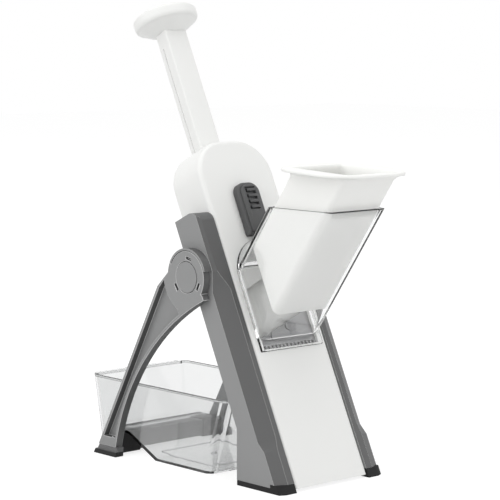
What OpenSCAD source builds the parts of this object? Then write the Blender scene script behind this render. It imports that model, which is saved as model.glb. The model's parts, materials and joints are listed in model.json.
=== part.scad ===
// Upright push-down slicer: a leaning body on two side frames, a folding rear leg,
// a plunger that drives a slanting blade past a feed mouth, a clear hopper with its
// pusher, and a clear bin that straddles the leg's crossbar.
// Millimetres. X runs across, -Y is the front, +Z is up, the feet stand on Z = 0.

/* [Stance] */
// Backward lean of the body from upright, in degrees
lean = 25.35; // [24:0.05:27]

/* [Body shells] */
// Width of the white body
body_w = 82.8; // [80:0.2:88]
// Depth of the white body, front face to rear face
body_d = 42; // [41:0.5:46]
// Height of the head's top, measured along the lean
body_h = 309.6; // [306:0.2:320]
// Depth at which the front and rear shells part
split_y = 28; // [27:0.5:29]
// Wall of both shells
shell_t = 2.6; // [2.2:0.1:3]
// Thickness of the front panel
panel_t = 2.6; // [2.4:0.1:3]
// Radius of the head's two top corners
head_r = 32; // [28:1:35]
// Rounding of the front edges
front_edge_r = 4; // [3:0.5:5]
// Rounding of the rear edges
rear_edge_r = 5.5; // [4:0.5:10]
// Height along the lean of the rear shell's lower edge
cover_z = 126; // [124:0.5:127]
// Gap between the front panel's lower edge and the table
panel_lift = 3; // [2:0.5:8]

/* [Mouth and blades] */
// Width of the mouth in the front panel
mouth_w = 62; // [56:0.5:63]
// Lower edge of the mouth, along the lean
mouth_low = 122; // [121:0.5:124]
// Top of the mouth's arch, along the lean
mouth_top = 214; // [212:0.5:215]
// Slant of the blade and of the fixed shear edge, in degrees
blade_slant = 20; // [14:1:22]
// Height of the fixed shear edge at mid-width
shear_z = 143; // [140:0.5:146]
// Height of the upper guard's slanting edge at mid-width
guard_z = 186; // [184:0.5:190]
// Thickness of the fixed shear plate and of the upper guard
plate_t = 2; // [1.6:0.1:2.2]
// Side of the square slots along the shear plate's foot
slot_w = 2.6; // [2:0.1:3]
// Spacing of those slots
slot_pitch = 4.2; // [3.8:0.1:5]

/* [Side frames] */
// Thickness of one side frame
frame_t = 17.6; // [16:0.2:20]
// Depth of a side frame behind the front face
frame_d = 29; // [28.5:0.5:31]
// Top of a side frame, along the lean
frame_h = 249; // [244:1:254]
// Depth of a frame's foot on the table
foot_back = 54.4; // [52:0.2:55]
// Rounding of a frame's upper front corner
frame_r = 10; // [6:1:14]
// Thickness of a front rubber foot
front_foot_t = 4.6; // [3:0.2:6]
// Height of the thicker toe of a front rubber foot
front_toe_t = 7.5; // [6.5:0.5:10]

/* [Folding leg] */
// Depth of the leg's pivot behind the front face
hub_y = 26; // [25:0.5:27]
// Height of the leg's pivot, along the lean
hub_z = 199; // [196:0.5:202]
// Radius of the leg's hub disc
hub_r = 22; // [20:0.5:23]
// Thickness of a leg arm
arm_t = 7.6; // [7:0.2:9]
// Depth of the leg's heel on the table, from the front face's foot
heel_y = 235.4; // [230:0.2:238]
// Radius of the arms' hollow front edge
arm_arc_r = 207; // [204:0.5:210]
// Depth of that edge's centre
arm_arc_y = -4.5; // [-6:0.5:-3]
// Height of that edge's centre
arm_arc_z = -34.5; // [-36:0.5:-33]
// Depth of the shoulder on an arm's rear edge
arm_shoulder_y = 147; // [142:0.5:148]
// Height of that shoulder
arm_shoulder_z = 158; // [154:0.5:159]
// Width of the rim along an arm's rear edge
arm_rim = 2.5; // [1.8:0.1:3]
// Depth of the hollow between an arm's rims
arm_hollow = 5; // [3:0.2:5]
// Height of a rear rubber boot
boot_h = 8.5; // [7:0.5:10]
// Radius of the pivot pins
pin_r = 6; // [5:0.25:7]
// Depth of the crossbar's front face
bar_y = 209; // [208.5:0.5:210]
// Depth of the crossbar
bar_d = 17; // [14:0.5:18]
// Lower face of the crossbar
bar_low = 3; // [2.5:0.5:4]
// Height of the crossbar
bar_h = 15; // [12:0.5:15.5]
// Length of the collar at each end of the crossbar
collar_l = 13; // [10:0.5:16]
// How far a collar stands proud of the crossbar
collar_lip = 1.2; // [1:0.1:1.6]

/* [Plunger] */
// Width of the plunger's stem
stem_w = 24; // [22:0.5:26]
// Depth of the stem
stem_d = 15; // [13.5:0.5:15]
// Depth of the stem's front face behind the body's front face
stem_y = 22; // [21.5:0.25:22.5]
// Top of the stem, along the lean
stem_top = 426; // [418:1:436]
// Stroke of the plunger
stroke = 85; // [78:1:86]
// Width of the grip
grip_w = 58; // [57:0.5:62]
// Depth of the grip
grip_d = 56.5; // [52:0.5:57]
// How far the grip's middle lies behind the stem's
grip_back = 1.5; // [0:0.1:2]
// Height of the grip
grip_h = 22.5; // [21:0.5:26]
// Lower face of the crosshead at rest, along the lean
head_low = 245; // [244:0.5:246]
// Height of the crosshead
head_h = 17; // [14:0.5:17.5]
// Front face of the blade carrier behind the body's front face
blade_y = 6; // [5.8:0.1:6.2]
// Thickness of the blade carrier's plate
carrier_t = 3; // [2.4:0.1:3.2]
// Distance of the guide rods from the middle
rod_x = 29; // [28.5:0.25:29]
// Radius of the guide rods
rod_r = 2.5; // [2:0.1:3]

/* [Return springs] */
// Number of curls
spring_turns = 16; // [12:1:20]
// Mean radius of the curls
spring_r = 5.1; // [4.8:0.1:5.2]
// Diameter of the wire
wire_d = 1.2; // [1:0.1:1.3]

/* [Lock] */
// Width of the lock's slider
lock_w = 25; // [24:0.5:28]
// Lower end of the slider, along the lean
lock_low = 221; // [221:0.5:223]
// Length of the slider
lock_l = 47; // [42:0.5:48]
// How far the slider stands out from the front face
lock_proud = 9; // [8:0.2:11]
// Travel of the slider
lock_travel = 10; // [8:0.5:10]
// Sideways throw of the latch
latch_throw = 3; // [2:0.25:3.25]
// Height of the latch, along the lean
latch_z = 284; // [283:0.25:285]

/* [Hopper and pusher] */
// Forward tilt of the hopper from upright, in degrees
duct_tilt = 35.4; // [33:0.1:38]
// Outer width of the hopper
hopper_w = 67; // [64:0.5:68]
// Outer depth of the hopper, square to its tilt
hopper_d = 60.2; // [58:0.2:61]
// Distance of the hopper's lower wall from the tilted line through the front face's foot
hopper_y = 111.4; // [111:0.2:114]
// Rounding of the hopper's corners
hopper_r = 5; // [4:0.5:8]
// Wall of the hopper
hopper_t = 2.4; // [1.8:0.1:2.6]
// Height of the hopper's level rim above the table
rim_z = 230; // [226:0.5:234]
// Free space all round between the pusher and the hopper's wall
pusher_slack = 0.8; // [0.5:0.1:1.2]
// Wall of the pusher
pusher_t = 2.2; // [1.6:0.1:2.4]
// Distance of the pusher's lower face from the body's front face
pusher_gap = 24; // [24:0.5:27]
// Underside of the pusher's flange above the table
flange_z = 259.5; // [256:0.5:264]
// Thickness of the pusher's flange
flange_t = 3; // [2.4:0.1:4]
// Width of the pusher's flange
flange_w = 80; // [76:0.5:84]
// Depth of the pusher's flange, front to back
flange_d = 74; // [72:0.5:78]
// Rise of the flange towards the back, in degrees
flange_tilt = 2.6; // [0:0.2:4]
// Depth of the flange's front edge
flange_front = -46; // [-48:0.5:-45]

/* [Bin] */
// Width of the bin's floor
bin_floor_w = 106; // [102:1:108]
// Width of the bin's rim
bin_rim_w = 111; // [108:1:114]
// Height of the bin's rim
bin_h = 66.7; // [62:0.1:68]
// Depth of the floor's front edge
bin_floor_front = 95; // [92:0.5:98]
// Depth of the floor's back edge
bin_floor_back = 246.6; // [244:0.1:250]
// Depth of the rim's front edge
bin_rim_front = 71.9; // [71:0.1:76]
// Depth of the rim's back edge
bin_rim_back = 255.7; // [252:0.1:260]
// Wall of the bin
bin_t = 2; // [1.6:0.1:2.4]
// How far the lip at the bin's back stands out
bin_lip = 5.3; // [4:0.1:7]

/* [Slice thickness] */
// Height of the adjusting spindle, along the lean
dial_z = 146; // [145:0.5:147]
// Radius of the adjusting knob
knob_r = 14; // [12:0.5:15]
// Radius of the spindle
spindle_r = 3; // [2.5:0.1:3.4]
// How far the stop plate draws back
draw_back = 6; // [5:0.25:6.5]

/* [Clearances] */
// Gap between pieces that move past each other
gap = 0.4; // [0.3:0.05:0.5]
// Radial clearance of pins, rods and spindles
run = 0.06; // [0.03:0.01:0.09]

/* [Hidden] */
$fn = 64;

white = [0.93, 0.93, 0.92];
clear = [0.86, 0.89, 0.9, 0.35];
grey = [0.42, 0.43, 0.44];
dark = [0.25, 0.26, 0.27];
black = [0.09, 0.09, 0.09];
steel = [0.75, 0.76, 0.77];

// A cut runs this far past the face that it opens
over = 1;
// Larger than the whole object
far = 500;
// Thickness of the slices that a hull joins
skin = 1;

// Depth and height above the table of a point given along the lean
function deep(y, z) = y * cos(lean) + z * sin(lean);
function high(y, z) = z * cos(lean) - y * sin(lean);
function at(p) = [deep(p[0], p[1]), high(p[0], p[1])];

// Points of an arc round a centre, in steps of about three degrees
function arc(c, r, low, top) = let (n = ceil(abs(top - low) / 3))
    [for (i = [0:n]) let (a = low + (top - low) * i / n) c + r * [cos(a), sin(a)]];

// Frames, pivot and leg
frame_in = body_w / 2;
frame_out = frame_in + frame_t;
hub = [deep(hub_y, hub_z), high(hub_y, hub_z)];
arm_in = frame_out + gap;
arm_out = arm_in + arm_t;
guard_r = hub_r + 2.4;
// Tangent from the heel to the hub, which is the rear edge of an arm
heel = [heel_y, 0];
heel_d = norm(heel - hub);
heel_turn = atan2(heel[1] - hub[1], heel[0] - hub[0]) + acos(hub_r / heel_d);
arm_top = hub + hub_r * [cos(heel_turn), sin(heel_turn)];
arm_shoulder = [arm_shoulder_y, arm_shoulder_z];
arm_dir = (heel - arm_shoulder) / norm(heel - arm_shoulder);
arm_side = [arm_dir[1], -arm_dir[0]];
// Angles round the hub: the guard on the frame, and the arm's lugs that stop against it
lug_low = heel_turn - acos(hub_r / guard_r);
lug_end = heel_turn - 5.6;
guard_start = lug_end + 1;
arm_front_turn = 215;
leg_fold = 50;
guard_end = arm_front_turn - leg_fold - 1.5;
arm_front = hub + guard_r * [cos(arm_front_turn), sin(arm_front_turn)];
function arm_back_at(z) = arm_shoulder[0] + (z - arm_shoulder[1]) * arm_dir[0] / arm_dir[1];
function arm_front_at(z) = arm_arc_y + sqrt(arm_arc_r ^ 2 - (z - arm_arc_z) ^ 2);
cap_r = 13.2;
cap_t = 2.4;

// Plunger and what it runs on
inner_w = body_w - 2 * shell_t;
head_top = head_low + head_h;
cheek_t = 2.5;
cheek_out = inner_w / 2 - 1.3;
cheek_in = cheek_out - cheek_t;
rod_y = stem_y + stem_d / 2 - 0.5;
bracket_h = 8;
lower_bracket_z = cover_z + 1;
upper_bracket_z = head_top + 4;
spring_low = lower_bracket_z + bracket_h;
blade_rest = guard_z + 22;
blade_drop = 5;
blade_t = 0.8;
blade_h = 12;
blade_rivet_r = 1.5;
blade_rivet_x = 24;
blade_rivet_up = 7;

// Stop plate behind the blade
stop_y = blade_y + carrier_t + 0.6;
stop_t = 3;
stop_w = 66;
stop_low = 130;
stop_high = 212;
peg_x = 16;
peg_r = 2.5;
sleeve_y = 25;
boss_l = 12;

// Lock
lock_stalk_up = 18;
lock_stalk_z = lock_low + lock_stalk_up;
lock_stalk_l = 10;
lock_stalk_w = 8;
lock_plate_y = panel_t + gap;
lock_plate_t = 1.6;
lock_plate_w = 12;
lock_plate_rim = 4;
latch_h = 7;
latch_d = 8;
latch_y = stem_y + 3;
latch_x = stem_w / 2 + 0.6;
latch_l = 10.4;
notch_play = 0.8;
pin_x = latch_x + 8.4;
cam_pin_r = 1.5;

// Hopper and pusher
flange_back = 2.4;
pusher_inset = hopper_t + pusher_slack;

// Bin, and the tunnel that clears the crossbar as the leg swings
collar_top = bar_low + bar_h + collar_lip;
collar_front = bar_y - collar_lip;
collar_back = bar_y + bar_d + collar_lip;
bin_low = 1;
tunnel_top = collar_top + gap;
tunnel_slope = 0.5;
tunnel_front = collar_front - 2.5;
tunnel_back = collar_back + 2;

// The object's middle, front to back, stands over the origin
y_back = bin_rim_back + bin_lip;
y_shift = -(flange_front + y_back) / 2;

// Frames of reference
module standing() translate([0, y_shift, 0]) children();
module leaning() standing() rotate([-lean, 0, 0]) children();
// A flat outline in X and height, thickened backwards from a depth
module backwards(y) translate([0, y, 0]) mirror([0, 1, 0]) rotate([90, 0, 0]) children();
// The same, thickened forwards
module forwards(y) translate([0, y, 0]) rotate([90, 0, 0]) children();
// A flat outline in depth and height, thickened along X
module across(x) translate([x, 0, 0]) rotate([90, 0, 90]) children();
module left_and_right() {
    children();
    mirror([1, 0, 0]) children();
}
// Everything lower than a height above the table, seen from the leaning frame
module under(z) rotate([lean, 0, 0]) translate([-far, -far, z - far]) cube([2 * far, 2 * far, far]);

module rounded(w, h, r) {
    square([w - 2 * r, h], center = true);
    square([w, h - 2 * r], center = true);
    for (x = [-1, 1], y = [-1, 1])
        translate([x * (w / 2 - r), y * (h / 2 - r)]) circle(r);
}

// Upright outline with two round top corners
module arch(w, low, top, r) {
    translate([-w / 2, low]) square([w, top - r - low]);
    if (w > 2 * r) translate([r - w / 2, low]) square([w - 2 * r, top - low]);
    for (x = [-1, 1]) translate([x * (w / 2 - r), top - r]) circle(r);
}

// Solid of that outline, with rolled edges round its first face
module pillow(w, low, top, r, edge, l) {
    translate([0, 0, edge]) linear_extrude(l - edge) arch(w, low, top, r);
    linear_extrude(l) arch(w - 2 * edge, low, top - edge, r - edge);
    for (x = [-1, 1]) {
        translate([x * (w / 2 - edge), low, edge]) rotate([-90, 0, 0])
            cylinder(r = edge, h = top - r - low);
        translate([x * (w / 2 - r), top - r, edge]) rotate([0, 0, x > 0 ? 0 : 90])
            rotate_extrude(angle = 90) translate([r - edge, 0]) circle(edge);
    }
    translate([r - w / 2, top - edge, edge]) rotate([0, 90, 0]) cylinder(r = edge, h = w - 2 * r);
}

// The same solid as one hull of slices, for the front
module soft_slab(w, low, top, r, edge, l) {
    hull() for (a = [0, 30, 60, 90]) {
        inset = edge * (1 - sin(a));
        translate([0, 0, edge * (1 - cos(a))]) linear_extrude(l - edge * (1 - cos(a)))
            arch(w - 2 * inset, low, top - inset, r - inset, $fn = 48);
    }
}

// Where the screws that join the shells at the head stand
screw_spot = [30, body_h - 20];
screw_r = 1.5;
boss_r = 3.4;
// Tabs by which the rear shell hooks inside the front shell
tab_t = 1.2;
tab_l = 6;

module stem_hole() {
    translate([-stem_w / 2 - gap, stem_y - gap, body_h - head_r])
        cube([stem_w + 2 * gap, stem_d + 2 * gap, 2 * head_r]);
}

module mouth_outline(inset) {
    arch(mouth_w - 2 * inset, mouth_low + inset, mouth_top - inset, mouth_w / 2 - inset);
}

frame_screw_z = [45, 86, 140];
frame_screw_y = 16;
frame_screw_r = 2;
module frame_screw_holes(r) {
    for (z = frame_screw_z)
        translate([frame_in - 2 * shell_t, frame_screw_y, z]) rotate([0, 90, 0]) cylinder(r = r, h = 16);
}

module front_shell() {
    color(white) leaning() difference() {
        union() {
            difference() {
                backwards(0) soft_slab(body_w, -frame_d, body_h, head_r, front_edge_r, split_y);
                backwards(panel_t)
                    linear_extrude(split_y) arch(inner_w, -2 * frame_d, body_h - shell_t, head_r - shell_t);
            }
            left_and_right() translate([screw_spot[0], panel_t, screw_spot[1]])
                rotate([-90, 0, 0]) cylinder(r = boss_r, h = split_y - panel_t);
        }
        backwards(-over) linear_extrude(panel_t + 2 * over) mouth_outline(0);
        translate([-lock_stalk_w / 2 - gap, -over, lock_stalk_z - gap])
            cube([lock_stalk_w + 2 * gap, panel_t + 2 * over, lock_stalk_l + lock_travel + 2 * gap]);
        stem_hole();
        left_and_right() {
            frame_screw_holes(frame_screw_r);
            translate([screw_spot[0], split_y - 10, screw_spot[1]])
                rotate([-90, 0, 0]) cylinder(r = screw_r, h = 10 + over);
        }
        under(panel_lift);
    }
}

module rear_shell() {
    color(white) leaning() difference() {
        union() {
            difference() {
                forwards(body_d) pillow(body_w, cover_z, body_h, head_r, rear_edge_r, body_d - split_y);
                forwards(body_d - shell_t) pillow(inner_w, cover_z - over, body_h - shell_t,
                    head_r - shell_t, rear_edge_r - shell_t, body_d - split_y);
                translate([-far, split_y - far, 0]) cube([2 * far, far, far]);
            }
            left_and_right() {
                translate([screw_spot[0], split_y, screw_spot[1]])
                    rotate([-90, 0, 0]) cylinder(r = boss_r, h = body_d - split_y - 2);
                translate([inner_w / 2 - tab_t, split_y - tab_l, cover_z + 2]) cube([tab_t, tab_l + 3, 10]);
            }
            for (x = [-peg_x, peg_x]) translate([x, sleeve_y, dial_z])
                rotate([-90, 0, 0]) cylinder(r = peg_r + 2, h = body_d - shell_t - sleeve_y);
        }
        left_and_right() translate([screw_spot[0], split_y - over, screw_spot[1]]) rotate([-90, 0, 0]) {
            cylinder(r = screw_r, h = body_d);
            translate([0, 0, body_d - split_y - 4 + over]) cylinder(r = 2 * screw_r, h = body_d);
        }
        for (x = [-peg_x, peg_x]) translate([x, sleeve_y - over, dial_z])
            rotate([-90, 0, 0]) cylinder(r = peg_r + run, h = body_d - shell_t - sleeve_y + over);
        translate([0, split_y, dial_z]) rotate([-90, 0, 0]) cylinder(r = spindle_r + run, h = body_d);
        stem_hole();
    }
}

module shell_screws() {
    color(steel) leaning() left_and_right()
        translate([screw_spot[0], split_y - 9, screw_spot[1]]) rotate([-90, 0, 0]) {
            cylinder(r = screw_r, h = body_d - split_y + 7);
            translate([0, 0, body_d - split_y + 5]) cylinder(r = 2 * screw_r, h = 2);
        }
}

// Side frame, drawn on the right
toe_l = 14;
chamfer_top = [4, 1.5];
chamfer_mid = [12.5, 9];
chamfer_low = [10.5, 5];
chamfer_steps = [39, 48, 178, 193];
module chamfer_cut(c, low, l) {
    translate([frame_out, 0, low]) linear_extrude(l)
        polygon([[-c[0], 0], [0, c[1]], [over, c[1]], [over, -over], [-c[0], -over]]);
}
module chamfer_blend(c, low, d, top) {
    hull() {
        chamfer_cut(c, low - skin, skin);
        chamfer_cut(d, top, skin);
    }
}
// Wedge of a circle round the hub, between two angles
module wedge(r, low, top) {
    intersection() {
        circle(r);
        polygon([[0, 0], for (k = [0:4]) let (a = low + (top - low) * k / 4) 2 * r * [cos(a), sin(a)]]);
    }
}
module guard_ring() {
    difference() {
        wedge(guard_r, guard_start, guard_end);
        circle(hub_r + 1.5 * gap);
    }
}
// Outline of a frame: its foot with an upright back, and a round upper front corner
frame_profile = concat(
    [[0, 0], [foot_back, 0], at([frame_d, (foot_back - frame_d * cos(lean)) / sin(lean)]),
        at([frame_d, frame_h])],
    [for (p = arc([frame_r, frame_h - frame_r], frame_r, 90, 180)) at(p)]);
module side_frame() {
    color(grey) standing() {
        difference() {
            union() {
                difference() {
                    across(frame_in) linear_extrude(frame_t) polygon(frame_profile);
                    rotate([-lean, 0, 0]) {
                        chamfer_cut(chamfer_low, -frame_d, chamfer_steps[0] + frame_d);
                        chamfer_blend(chamfer_low, chamfer_steps[0], chamfer_mid, chamfer_steps[1]);
                        chamfer_cut(chamfer_mid, chamfer_steps[1], chamfer_steps[2] - chamfer_steps[1]);
                        chamfer_blend(chamfer_mid, chamfer_steps[2], chamfer_top, chamfer_steps[3]);
                        chamfer_cut(chamfer_top, chamfer_steps[3], frame_h);
                    }
                }
                across(frame_in) linear_extrude(frame_t) translate(hub)
                    wedge(guard_r, -lean - 80, 80 - lean);
                across(frame_out) linear_extrude(arm_t + gap) translate(hub) guard_ring();
            }
            across(frame_in - over) linear_extrude(frame_t + 2 * over) translate(hub) circle(pin_r);
            across(frame_in - over) linear_extrude(3 + over) translate(hub) circle(pin_r + 3);
            rotate([-lean, 0, 0]) {
                frame_screw_holes(frame_screw_r);
                across(frame_in - over) linear_extrude(frame_t - 3 + over) {
                    translate([12, 52]) square([14, 27]);
                    translate([12, 105]) square([14, 25]);
                    translate([12, 150]) square([14, 16]);
                }
            }
            translate([0, -far, -far]) cube([far, 2 * far, far + front_foot_t]);
            translate([0, -far, -far]) cube([far, far + toe_l, far + front_toe_t]);
        }
    }
}
module left_side_frame() mirror([1, 0, 0]) side_frame();
module right_side_frame() side_frame();

module frame_screws() {
    color(steel) leaning() left_and_right() {
        frame_screw_holes(frame_screw_r);
        for (z = frame_screw_z)
            translate([frame_in - shell_t - 2, frame_screw_y, z]) rotate([0, 90, 0])
                cylinder(r = 1.75 * frame_screw_r, h = 2);
    }
}

// Rubber foot under a frame, thicker at the toe
module front_foot() {
    color(black) standing() across(frame_in) linear_extrude(frame_t) polygon([
        [0, 0], [foot_back, 0], [foot_back, front_foot_t], [toe_l, front_foot_t],
        [toe_l, front_toe_t], [front_toe_t * tan(lean), front_toe_t]]);
}
module left_front_foot() mirror([1, 0, 0]) front_foot();
module right_front_foot() front_foot();

// Pivot pin with its flange inside the frame
module pivot_pin() {
    color(steel) standing() {
        across(frame_in) linear_extrude(3) translate(hub) circle(pin_r + 3);
        across(frame_in) linear_extrude(arm_out - cap_t - frame_in) translate(hub) circle(pin_r);
    }
}
module left_pivot_pin() mirror([1, 0, 0]) pivot_pin();
module right_pivot_pin() pivot_pin();

// Cap that holds the arm on its pin
module pivot_cap() {
    color(grey) standing() across(arm_out - cap_t) linear_extrude(cap_t + gap) translate(hub) circle(cap_r);
}
module left_pivot_cap() mirror([1, 0, 0]) pivot_cap();
module right_pivot_cap() pivot_cap();

// Plates behind the mouth
plate_w = mouth_w + 7;
slant = tan(blade_slant);
module blade_guard() {
    color(dark) leaning() backwards(panel_t) linear_extrude(plate_t) intersection() {
        translate([-plate_w / 2, 0]) square([plate_w, mouth_top + 4]);
        polygon([[-far, guard_z - far * slant], [far, guard_z + far * slant], [far, far + guard_z + far * slant],
            [-far, far + guard_z]]);
    }
}

rivet_r = 2;
rivet_spots = [[5, shear_z - 2.6], [-14, shear_z - 9.6]];
module shear_plate() {
    color(steel) leaning() backwards(panel_t) linear_extrude(plate_t) difference() {
        polygon([[-plate_w / 2, mouth_low - 4], [plate_w / 2, mouth_low - 4],
            [plate_w / 2, shear_z + plate_w / 2 * slant], [-plate_w / 2, shear_z - plate_w / 2 * slant]]);
        for (x = [-6.5:6.5]) translate([x * slot_pitch, mouth_low + 1 + slot_w / 2])
            square(slot_w, center = true);
        for (s = rivet_spots) translate(s) circle(rivet_r);
    }
}
module shear_rivets() {
    color(steel) leaning() for (s = rivet_spots) translate([s[0], panel_t - 1, s[1]]) rotate([-90, 0, 0]) {
        cylinder(r = rivet_r, h = 1 + plate_t);
        cylinder(r = 1.6 * rivet_r, h = 1);
    }
}

// Sloping plate that turns falling slices back into the bin
module slice_chute() {
    color(white) leaning() across(-inner_w / 2) linear_extrude(inner_w) polygon([
        [panel_t, cover_z - 26], [split_y + 7, cover_z - 29], [split_y + 7, cover_z - 31],
        [panel_t, cover_z - 28]]);
}

// Rods that guide the crosshead, in their brackets on the rear shell
module rod_bracket(z, h) {
    color(white) leaning() left_and_right() difference() {
        translate([rod_x - 6.5, rod_y - 6.5, z])
            cube([13, body_d - shell_t - rod_y + 6.5 - (rear_edge_r - shell_t) / 2, h]);
        translate([rod_x, rod_y, z - over]) cylinder(r = rod_r, h = h + 2 * over);
    }
}
module upper_rod_bracket() rod_bracket(upper_bracket_z, bracket_h);
module lower_rod_bracket() rod_bracket(lower_bracket_z, bracket_h);
module guide_rods() {
    color(steel) leaning() left_and_right() translate([rod_x, rod_y, lower_bracket_z])
        cylinder(r = rod_r, h = upper_bracket_z + bracket_h - lower_bracket_z);
}

// Return spring: one unbroken wire wound round a guide rod below the crosshead
rings = 8;
sides = 6;
spring_l = head_low - spring_low - 2 * gap - wire_d;
spring_steps = spring_turns * rings;
function coil(t) = [
    spring_r * cos(360 * spring_turns * t), spring_r * sin(360 * spring_turns * t), spring_l * t];
function coil_ring(i) = let (
    t = i / spring_steps,
    a = 360 * spring_turns * t,
    out = [cos(a), sin(a), 0],
    along = [-sin(a) * spring_r * 2 * PI * spring_turns, cos(a) * spring_r * 2 * PI * spring_turns, spring_l],
    up = cross(along / norm(along), out)
) [for (k = [0:sides - 1])
    coil(t) + wire_d / 2 * (cos(360 * k / sides) * out + sin(360 * k / sides) * up)];
spring_points = [for (i = [0:spring_steps]) each coil_ring(i)];
function quad(a, b, c, d) = [[a, b, c], [a, c, d]];
spring_faces = [
    for (k = [1:sides - 2]) [0, k, k + 1],
    for (i = [0:spring_steps - 1], k = [0:sides - 1]) let (
        a = i * sides + k,
        b = i * sides + (k + 1) % sides
    ) each quad(a, a + sides, b + sides, b),
    for (k = [1:sides - 2]) let (e = spring_steps * sides) [e, e + k + 1, e + k]
];
// Least gap from a curl to the next one, measured between points of the wire's axis
spring_gap = min([for (i = [0:rings], j = [rings - 2:rings + 2])
    norm(coil(i / spring_steps) - coil((i + j) / spring_steps))]) - wire_d;
echo(spring_gap = spring_gap);
module return_spring() {
    color(steel) leaning() translate([rod_x, rod_y, spring_low + gap + wire_d / 2])
        polyhedron(spring_points, spring_faces);
}
module left_return_spring() mirror([1, 0, 0]) return_spring();
module right_return_spring() return_spring();

// Guide that holds the latch bolt beside the stem
module latch_guide() {
    color(white) leaning() difference() {
        translate([latch_x + 2, latch_y - 2, latch_z - latch_h / 2 - 2.5])
            cube([11, body_d - shell_t - latch_y + 2, latch_h + 5]);
        translate([0, latch_y - gap, latch_z - latch_h / 2 - gap])
            cube([far, latch_d + 2 * gap, latch_h + 2 * gap]);
        translate([pin_x - 2.5 - latch_throw, 0, latch_z - 3.5])
            cube([5 + latch_throw + 2 * gap, latch_y, 7]);
    }
}

// Plunger
module plunger_stem() {
    color(white) leaning() difference() {
        translate([-stem_w / 2, stem_y, head_low + 3]) cube([stem_w, stem_d, stem_top - head_low - 3]);
        left_and_right() translate([stem_w / 2 - 0.8, stem_y + stem_d * 0.6, head_top + 4])
            cube([far, 1, stem_top - head_top - 20]);
        for (z = [latch_z, latch_z + stroke])
            translate([stem_w / 2 - latch_throw, latch_y, z - latch_h / 2] - notch_play * [1, 1, 1])
                cube([far, latch_d + 2 * notch_play, latch_h + 2 * notch_play]);
    }
}

grip_low = stem_top - 2;
// Heights in the grip: the rim's lower edge and the joint of its two halves
grip_rim = grip_low + 9.8;
grip_mid = grip_rim + 6.7;
grip_under = 16;
grip_dome = 22;
// Half section of the grip, out to its rim: a sloping underside or a domed top
module grip_half(top) {
    r = grip_d / 2;
    steps = 10;
    under = [[0, grip_low], [r - grip_under, grip_low], [r - 2.6, grip_rim - 1.4], [r - 0.9, grip_rim],
        [r, grip_rim + 2.4], [r, grip_mid], [0, grip_mid]];
    dome = [for (i = [0:steps]) let (a = 90 * i / steps)
        [r - grip_dome * (1 - cos(a)), grip_mid + (grip_low + grip_h - grip_mid) * sin(a)]];
    polygon(top ? concat([[0, grip_mid]], dome, [[0, grip_low + grip_h]]) : under);
}
module grip_body(top) {
    half = (grip_w - grip_d) / 2;
    translate([0, stem_y + stem_d / 2 + grip_back, 0]) {
        translate([half, 0, 0]) rotate([0, 0, -90]) rotate_extrude(angle = 180) grip_half(top);
        translate([-half, 0, 0]) rotate([0, 0, 90]) rotate_extrude(angle = 180) grip_half(top);
        across(-half) linear_extrude(2 * half) {
            grip_half(top);
            mirror([1, 0]) grip_half(top);
        }
    }
}
module grip_base() {
    color(white) leaning() difference() {
        grip_body(false);
        translate([-stem_w / 2, stem_y, 0]) cube([stem_w, stem_d, stem_top]);
    }
}
module grip_cap() color(white) leaning() grip_body(true);

crosshead_y = stem_y - 1.5;
crosshead_d = stem_d + 0.5;
module crosshead() {
    color(dark) leaning() difference() {
        translate([-cheek_in, crosshead_y, head_low]) cube([2 * cheek_in, crosshead_d, head_h]);
        translate([-stem_w / 2, stem_y, head_low + 3]) cube([stem_w, stem_d + over, head_h]);
        left_and_right() {
            translate([rod_x, rod_y, head_low - over]) cylinder(r = rod_r + run, h = head_h + 2 * over);
            crosshead_screw_shape(0);
        }
    }
}
module crosshead_screw_shape(head) {
    translate([stem_w / 2 + 1, crosshead_y + 2.2, head_low + head_h / 2]) rotate([0, 90, 0]) {
        cylinder(r = 1.2, h = cheek_out - stem_w / 2 - 1);
        translate([0, 0, cheek_out - stem_w / 2 - 1]) cylinder(r = 2.4, h = head);
    }
}
module crosshead_screws() color(steel) leaning() left_and_right() crosshead_screw_shape(0.8);

carrier_w = 2 * cheek_out;
blade_w = mouth_w + 6;
blade_rivet_spots = [for (x = blade_rivet_x * [-1, 0, 1]) [x, blade_rest + x * slant + blade_rivet_up]];
module blade_carrier() {
    color(dark) leaning() difference() {
        union() {
            backwards(blade_y) linear_extrude(carrier_t) polygon([
                [-carrier_w / 2, blade_rest - carrier_w / 2 * slant],
                [carrier_w / 2, blade_rest + carrier_w / 2 * slant],
                [carrier_w / 2, head_top], [-carrier_w / 2, head_top]]);
            left_and_right() translate([cheek_in, blade_y, head_low])
                cube([cheek_t, crosshead_y + crosshead_d - blade_y, head_h]);
        }
        slicing_blade_shape();
        left_and_right() crosshead_screw_shape(0);
        for (s = blade_rivet_spots) translate([s[0], 0, s[1]]) rotate([-90, 0, 0])
            cylinder(r = blade_rivet_r, h = far);
    }
}
// Slanting strip, ground to an edge along its lower side
module slicing_blade_shape() {
    translate([0, blade_y, blade_rest]) rotate([0, -blade_slant, 0])
        across(-blade_w / 2) linear_extrude(blade_w)
            polygon([[0, blade_h], [blade_t, blade_h], [blade_t, 3 - blade_drop], [0, -blade_drop]]);
}
module slicing_blade() {
    color(steel) leaning() difference() {
        slicing_blade_shape();
        for (s = blade_rivet_spots) translate([s[0], 0, s[1]]) rotate([-90, 0, 0])
            cylinder(r = blade_rivet_r, h = far);
    }
}
module blade_rivets() {
    color(steel) leaning() for (s = blade_rivet_spots)
        translate([s[0], blade_y, s[1]]) rotate([-90, 0, 0]) cylinder(r = blade_rivet_r, h = carrier_t);
}

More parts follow.
